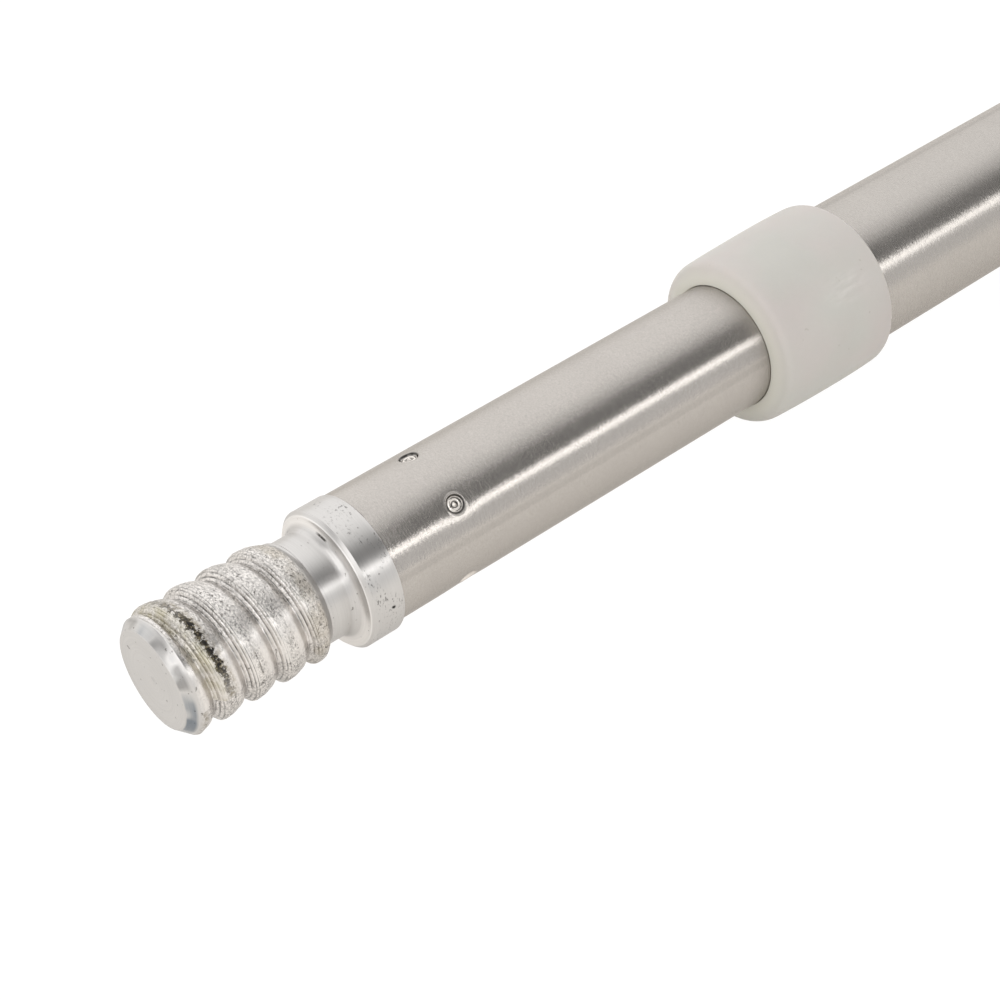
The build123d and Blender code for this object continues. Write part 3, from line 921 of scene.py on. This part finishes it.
def studio_floor():
    """Pale floor that the pole's grip lies on."""
    half = FLOOR_HALF
    level = cad_box[0].z
    corners = [(-half, -half, level), (half, -half, level), (half, half, level), (-half, half, level)]
    mesh = bpy.data.meshes.new("floor")
    mesh.from_pydata(corners, [], [(0, 1, 2, 3)])
    floor = bpy.data.objects.new("floor", mesh)
    bpy.context.scene.collection.objects.link(floor)
    finish, s = material("floor_paper")
    # seen directly, the paper is almost burnt out; in reflections it keeps its full shadow
    lit = s.node("ShaderNodeBsdfDiffuse", {"Color": (0.53, 0.525, 0.515, 1)}).outputs[0]
    path = s.node("ShaderNodeLightPath").outputs
    bounce = s.range(path["Is Diffuse Ray"], 0.0, 1.0, FLOOR_BOUNCE, FLOOR_BOUNCE_SOFT)
    bounced = s.node("ShaderNodeEmission", {"Color": (1, 0.965, 0.92, 1), "Strength": bounce}).outputs[0]
    lit = s.node("ShaderNodeAddShader", {0: lit, 1: bounced}).outputs[0]
    shown = s.node("ShaderNodeBsdfDiffuse", {"Color": (0.10, 0.10, 0.10, 1)}).outputs[0]
    glow = s.node("ShaderNodeEmission", {"Color": (1, 0.997, 0.99, 1), "Strength": FLOOR_GLOW}).outputs[0]
    burnt = s.node("ShaderNodeAddShader", {0: shown, 1: glow}).outputs[0]
    both = s.node("ShaderNodeMixShader", {0: path["Is Camera Ray"], 1: lit, 2: burnt}).outputs[0]
    s.node("ShaderNodeOutputMaterial", {"Surface": both})
    mesh.materials.append(finish)


# brightness of the studio by the angle about the pole's axis, from the far side over the top to the near side
STUDIO = (
    (0, 1.52), (62, 1.50), (76, 1.38), (86, 1.17), (95, 0.95), (103, 0.70), (111, 0.38), (118, 0.25),
    (137, 0.26), (142.5, 0.40), (143.3, 3.0), (152, 3.0), (153.2, 0.98), (180, 0.98),
)
# the same for what faces the tip: a second soft box fills the overhead gap
STUDIO_FRONT = (
    (0, 1.45), (34, 1.35), (46, 0.80), (73, 0.66), (77, 1.8), (123, 2.0), (135, 1.7), (138, 0.45),
    (142.5, 0.45), (143.3, 3.0), (152, 3.0), (153.2, 0.98), (180, 0.98),
)
STUDIO_PEAK = 3.0


def studio_light():
    """Soft light all round: a bright wall behind, a dark gap overhead, one narrow strip light in front."""
    world = bpy.data.worlds.new("studio")
    bpy.context.scene.world = world
    world.use_nodes = True
    s = Shader(world.node_tree)
    direction = s.node("ShaderNodeTexCoord").outputs["Generated"]
    x, y, z = s.node("ShaderNodeSeparateXYZ", {0: direction}).outputs
    share = s.math("DIVIDE", s.math("ARCTAN2", z, y), math.pi)
    side, front = (s.ramp(share, [(a / 180, (v / STUDIO_PEAK,) * 3) for a, v in stops])
                   for stops in (STUDIO, STUDIO_FRONT))
    level = s.mix(s.range(x, -0.12, -0.32, 0.0, 1.0, True), side, front)
    light = s.node("ShaderNodeBackground", {"Color": level, "Strength": STUDIO_PEAK}).outputs[0]
    white = (1, 0.995, 0.985, 1)
    backdrop = s.node("ShaderNodeBackground", {"Color": white, "Strength": BACKDROP}).outputs[0]
    seen = s.node("ShaderNodeLightPath").outputs["Is Camera Ray"]
    both = s.node("ShaderNodeMixShader", {0: seen, 1: light, 2: backdrop}).outputs[0]
    s.node("ShaderNodeOutputWorld", {"Surface": both})


# the camera's place in metres, and the directions that it looks in and has on its right
CAMERA_PLACE = (-0.11887, -0.17360, 0.21108)
CAMERA_FORWARD = (0.4773, 0.5511, -0.6845)
CAMERA_RIGHT = (0.7559, -0.6547, 0.0)
CAMERA_LENS = 78.84
CAMERA_SENSOR = 36


def camera():
    """Camera at the viewing angle of a close three-quarter view from above the thread tip."""
    data = bpy.data.cameras.new("camera")
    data.sensor_width = CAMERA_SENSOR
    data.lens = CAMERA_LENS
    data.clip_start = 0.005
    data.clip_end = 50
    eye = bpy.data.objects.new("camera", data)
    forward = Vector(CAMERA_FORWARD).normalized()
    right = Vector(CAMERA_RIGHT).normalized()
    up = right.cross(forward)
    turn = Matrix((right, up, -forward)).transposed().to_4x4()
    eye.matrix_world = Matrix.Translation(CAMERA_PLACE) @ turn
    bpy.context.scene.collection.objects.link(eye)
    bpy.context.scene.camera = eye


studio_floor()
studio_light()
camera()
bpy.context.scene.view_settings.view_transform = "Standard"
bpy.context.scene.view_settings.look = "None"

bpy.context.view_layer.update()
